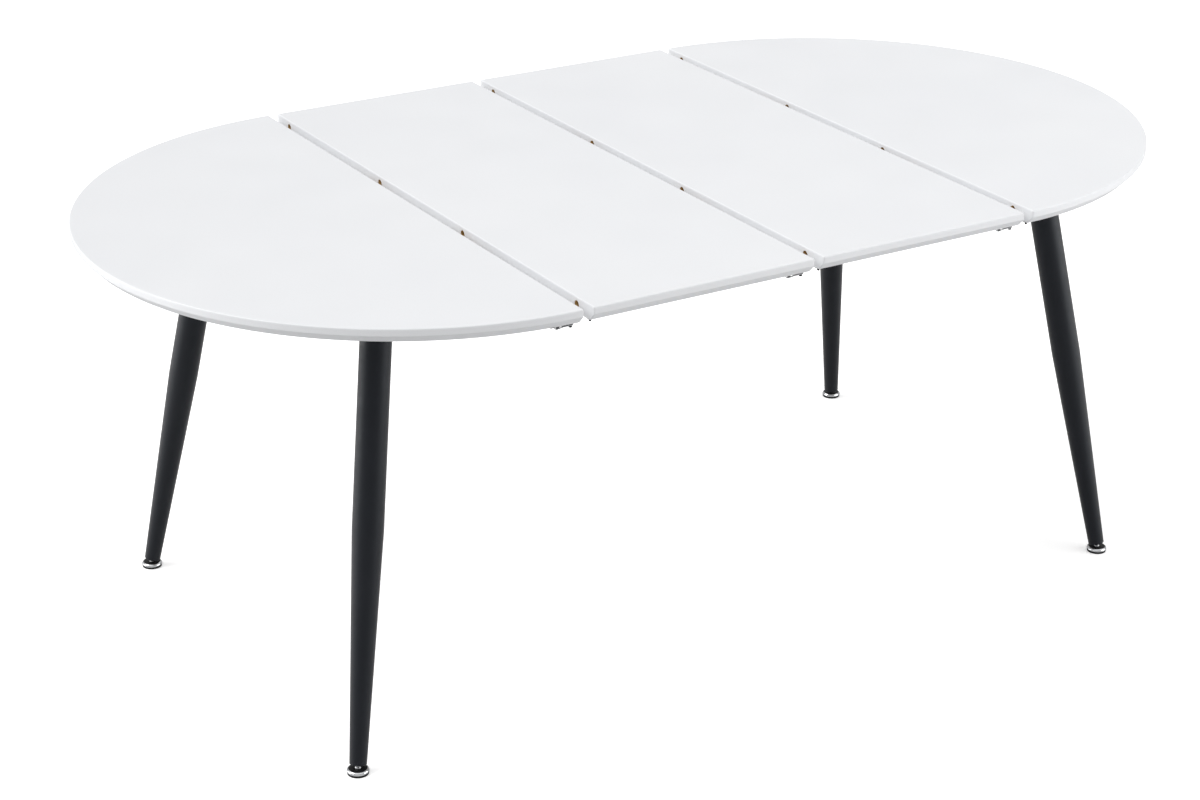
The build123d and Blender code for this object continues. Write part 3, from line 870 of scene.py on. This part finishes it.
def makeFoot(corner):
    _, ball, axis, end = legLine(corner)
    bm = bmesh.new()
    rimTop = foot["padHeight"] + foot["rimHeight"]
    # painted reflection: the crown of the chrome dome takes the black finish, standing in for the black leg
    # mirrored in it
    for face in addLathe(bm, domeProfile(), foot["steps"], Matrix.Translation((ball.x, ball.y, 0))):
        spot = face.calc_center_median()
        out = Vector((spot.x - ball.x, spot.y - ball.y)).length
        face.material_index = 1 if spot.z > rimTop and out < foot["paintedLegReflectionReach"] else 0
    lean = axis.to_track_quat("Z", "Y").to_matrix().to_4x4()
    atBall, atEnd = Matrix.Translation(ball) @ lean, Matrix.Translation(end) @ lean
    radius, gap = foot["ballRadius"], foot["ballAngle"]
    ballProfile = [(radius * cos(radians(a)), radius * sin(radians(a))) for a in range(gap - 90, 90, gap)]
    steel = addLathe(bm, [(0, -radius)] + ballProfile + [(0, radius)], foot["ballSteps"], atBall)
    # hexagon collar under the leg's end, with its corners turned off
    hexRadius = foot["collarFlats"] / 2 / cos(radians(30))
    atCollar = atEnd @ Matrix.Rotation(radians(foot["collarTurn"]), 4, "Z")
    low = addRing(bm, hexRadius, -foot["collarHeight"], 6, atCollar)
    high = addRing(bm, hexRadius, 0, 6, atCollar)
    faces = [bm.faces.new(low[::-1]), bm.faces.new(high)]
    for k in range(6):
        n = (k + 1) % 6
        faces.append(bm.faces.new([low[k], low[n], high[n], high[k]]))
    bmesh.ops.recalc_face_normals(bm, faces=faces)
    for face in steel + faces:
        face.material_index = 2
    edges = list(dict.fromkeys(edge for face in faces for edge in face.edges))
    bmesh.ops.bevel(bm, geom=edges, offset=foot["collarSoftness"], segments=2, affect="EDGES", profile=0.5,
                    clamp_overlap=True, material=2)
    # threaded stud, seen when the foot is screwed out
    rise = foot["studLength"] - (end - ball).length
    for face in addLathe(bm, studProfile(rise), foot["studSteps"], atEnd):
        face.material_index = 2
    piece = looseObject(camelName("foot", corner), meshFrom(bm, "foot"))
    wear(piece, chrome, blackOxide, zincSteel)
    evenShade(piece, foot["shadeAngle"])
    install(piece, "chrome", "foot_" + corner)


def makeFootPad(corner):
    ball = legLine(corner)[1]
    wide, half = foot["discRadius"] - foot["padStep"], foot["padHeight"] / 2
    narrow, soft, steps = wide - foot["padStep"], foot["padSoftness"], foot["padSteps"]
    profile = [(0, 0)] + arc((narrow - soft, soft), soft, -90, 0, steps)
    profile += [(narrow, half - foot["padDraft"]), (wide - soft, half)]
    profile += arc((wide - soft, half + soft), soft, -90, 0, steps)[1:] + [(wide, 2 * half), (0, 2 * half)]
    bm = bmesh.new()
    addLathe(bm, profile, foot["steps"], Matrix.Translation((ball.x, ball.y, 0)))
    piece = looseObject(camelName("footPad", corner), meshFrom(bm, "footPad"))
    evenShade(piece, foot["shadeAngle"])
    install(wear(piece, blackPlastic), "black_plastic", "foot_pad_" + corner)


for corner in corners:
    makeFoot(corner)
    makeFootPad(corner)
print("feet made")


# runners

runner = {"railSoftness": 0.0009, "tieSoftness": 0.0005, "boltSoftness": 0.0005, "slideGap": 0.0001}
for end in ("front", "back"):
    for part in ("left", "mid", "right"):
        node = f"{part}_rail_{end}"
        rail = softCopy(node, part + "Rail" + end.capitalize(), runner["railSoftness"])
        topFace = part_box(node)[1].z - runner["slideGap"]
        # a rail slides under the far half, so it keeps just clear of the board
        for vert in rail.data.vertices:
            vert.co.z = min(vert.co.z, topFace)
        install(wear(rail, beechRail), "beech", node)
install(wear(softCopy("mid_ties", "ties", runner["tieSoftness"]), zincSteel), "zinc_steel", "mid_ties")
for part in ("left", "right"):
    bolts = softCopy(part + "_stop_bolts", part + "StopBolts", runner["boltSoftness"])
    install(wear(bolts, zincSteel), "zinc_steel", part + "_stop_bolts")
print("runners made")


# seam latches

latch = {
    "baseSoftness": 0.0004, "leverSoftness": 0.0004, "keeperSoftness": 0.0004,
    # the lever's tab narrows past the notch, at this distance from the round end
    "tabStart": 0.0238, "tabRun": 0.005, "tabShare": 0.42,
}


def makeLever(node, name):
    lever = softCopy(node, name, latch["leverSoftness"])
    low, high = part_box(node)
    middle = (low.y + high.y) / 2
    for vert in lever.data.vertices:
        past = min(max((high.x - vert.co.x - latch["tabStart"]) / latch["tabRun"], 0), 1)
        vert.co.y = middle + (vert.co.y - middle) * (1 - past * (1 - latch["tabShare"]))
    evenShade(lever)
    install(wear(lever, zincSteel), "zinc_steel", node)


for part, name in (("left", "leftLatch"), ("leaf_1", "leafOneLatch"), ("leaf_2", "leafTwoLatch")):
    bases = softCopy(part + "_latch_bases", name + "Bases", latch["baseSoftness"])
    install(wear(bases, blackOxide), "zinc_steel", part + "_latch_bases")
    for end in ("front", "back"):
        makeLever(f"latch_{part}_{end}", name + "Lever" + end.capitalize())
for part, name in (("leaf_1", "leafOne"), ("leaf_2", "leafTwo"), ("right", "right")):
    keepers = softCopy(part + "_keepers", name + "Keepers", latch["keeperSoftness"])
    install(wear(keepers, blackOxide), "zinc_steel", part + "_keepers")
print("latches made")


# floor, light and camera

studio = {
    "floorSize": 40.0, "floorCells": 8, "floorDrop": 0.0003, "floorGlow": 0.378, "bounceTone": 0.54,
    "wallRadius": 19.0, "wallHeight": 12.0, "wallSteps": 96, "skyStrength": 0.45,
    "lamps": [  # name, place, aim, size across and up, power
        ("overhead", (0.0, 0.0, 5.0), (0.0, 0.0, 0.0), (12.0, 12.0), 226.0),
        ("leftBox", (-3.7, 1.9, 0.34), (-0.7, -0.2, 0.3), (3.2, 0.66), 46.0),
        ("rightBox", (3.2, -2.7, 0.95), (0.7, -0.2, 0.4), (3.6, 1.8), 85.0),
    ],
    "sideGlow": {"strength": 1.85, "spread": 45.0, "rise": 42.0, "turn": -17.0, "distance": 6.0},
}
camera = {
    "lens": 80.12, "sensor": 36.0, "clipEnd": 100.0,
    "place": (-2.3135, -3.6850, 2.2106), "yaw": 31.434, "pitch": 23.564, "roll": 0.285,
}


def floorPlane(name, drop, finish):
    bm = bmesh.new()
    cells = studio["floorCells"]
    bmesh.ops.create_grid(bm, x_segments=cells, y_segments=cells, size=studio["floorSize"] / 2)
    bmesh.ops.translate(bm, verts=bm.verts, vec=(0, 0, -drop))
    plane = looseObject(name, meshFrom(bm, name))
    wear(plane, finish)
    return plane


def makeFloor():
    finish, tree, shader, place = startFinish("studioFloor")
    drift = cloud(tree, place, 0.7, 3.0)
    feed(shader, "Base Color", tint(tree, drift, [(0.3, (0.925,) * 3), (0.7, (0.945,) * 3)]))
    shader.inputs["Roughness"].default_value = 0.9
    shader.inputs["Specular IOR Level"].default_value = 0.1
    shader.inputs["Emission Color"].default_value = (1, 1, 1, 1)
    shader.inputs["Emission Strength"].default_value = studio["floorGlow"]
    seen = floorPlane("studioFloor", studio["floorDrop"], finish)
    # the table is lit by a greyer floor than the one that is seen, as with cards laid round it
    grey, tree, shader, place = startFinish("bounceFloor")
    tone = studio["bounceTone"]
    drift = cloud(tree, place, 0.7, 3.0)
    feed(shader, "Base Color", tint(tree, drift, [(0.3, (tone - 0.01,) * 3), (0.7, (tone + 0.01,) * 3)]))
    shader.inputs["Roughness"].default_value = 1.0
    bounce = floorPlane("bounceFloor", 2 * studio["floorDrop"], grey)
    seen.visible_diffuse = seen.visible_glossy = seen.visible_shadow = False
    bounce.visible_camera = False


def makeBackdrop():
    # a white wall round the floor for low views, which lights nothing
    finish, tree, shader, place = startFinish("studioWall")
    glow = tint(tree, cloud(tree, place, 0.2, 2.0), [(0.3, (0.99,) * 3), (0.7, (1.0,) * 3)])
    feed(shader, "Emission Color", glow)
    shader.inputs["Base Color"].default_value = (0, 0, 0, 1)
    shader.inputs["Emission Strength"].default_value = 1.0
    bm = bmesh.new()
    rise, radius = studio["wallHeight"], studio["wallRadius"]
    bmesh.ops.create_cone(bm, segments=studio["wallSteps"], radius1=radius, radius2=radius, depth=rise)
    bmesh.ops.translate(bm, verts=bm.verts, vec=(0, 0, rise / 2 - studio["floorDrop"]))
    wall = looseObject("studioWall", meshFrom(bm, "studioWall"))
    wear(wall, finish)
    wall.visible_diffuse = wall.visible_glossy = wall.visible_shadow = False


def makeLamps():
    for name, place, aim, size, power in studio["lamps"]:
        light = bpy.data.lights.new(name, "AREA")
        light.shape = "RECTANGLE"
        light.size, light.size_y = size
        light.energy = power
        lamp = looseObject(name, light)
        lamp.location = place
        lamp.rotation_euler = (Vector(aim) - Vector(place)).to_track_quat("-Z", "Y").to_euler()
    # broad light from the left, high enough to reach into the seams
    glow = studio["sideGlow"]
    sun = bpy.data.lights.new("sideGlow", "SUN")
    sun.energy = glow["strength"]
    sun.angle = radians(glow["spread"])
    lamp = looseObject("sideGlow", sun)
    rise, turn = radians(glow["rise"]), radians(glow["turn"])
    source = Vector((-cos(rise) * cos(turn), -cos(rise) * sin(turn), sin(rise)))
    lamp.location = source * glow["distance"]
    lamp.rotation_euler = (-source).to_track_quat("-Z", "Y").to_euler()
    world = bpy.data.worlds.new("studioSky")
    world.use_nodes = True
    sky = world.node_tree.nodes["Background"]
    sky.inputs["Color"].default_value = (1.0, 1.0, 1.0, 1.0)
    sky.inputs["Strength"].default_value = studio["skyStrength"]
    scene.world = world


def makeCamera():
    yaw, pitch, roll = (radians(camera[k]) for k in ("yaw", "pitch", "roll"))
    ahead = Vector((sin(yaw) * cos(pitch), cos(yaw) * cos(pitch), -sin(pitch)))
    right = Vector((cos(yaw), -sin(yaw), 0))
    up = right.cross(ahead)
    rolledRight = right * cos(roll) + up * sin(roll)
    rolledUp = up * cos(roll) - right * sin(roll)
    eye = bpy.data.cameras.new("photoCamera")
    eye.sensor_width = camera["sensor"]
    eye.lens = camera["lens"]
    eye.clip_end = camera["clipEnd"]
    stand = looseObject("photoCamera", eye)
    turn = Matrix((rolledRight, rolledUp, -ahead)).transposed().to_4x4()
    stand.matrix_world = Matrix.Translation(camera["place"]) @ turn
    scene.camera = stand


makeFloor()
makeBackdrop()
makeLamps()
makeCamera()
scene.view_settings.view_transform = "Standard"
print("studio ready")
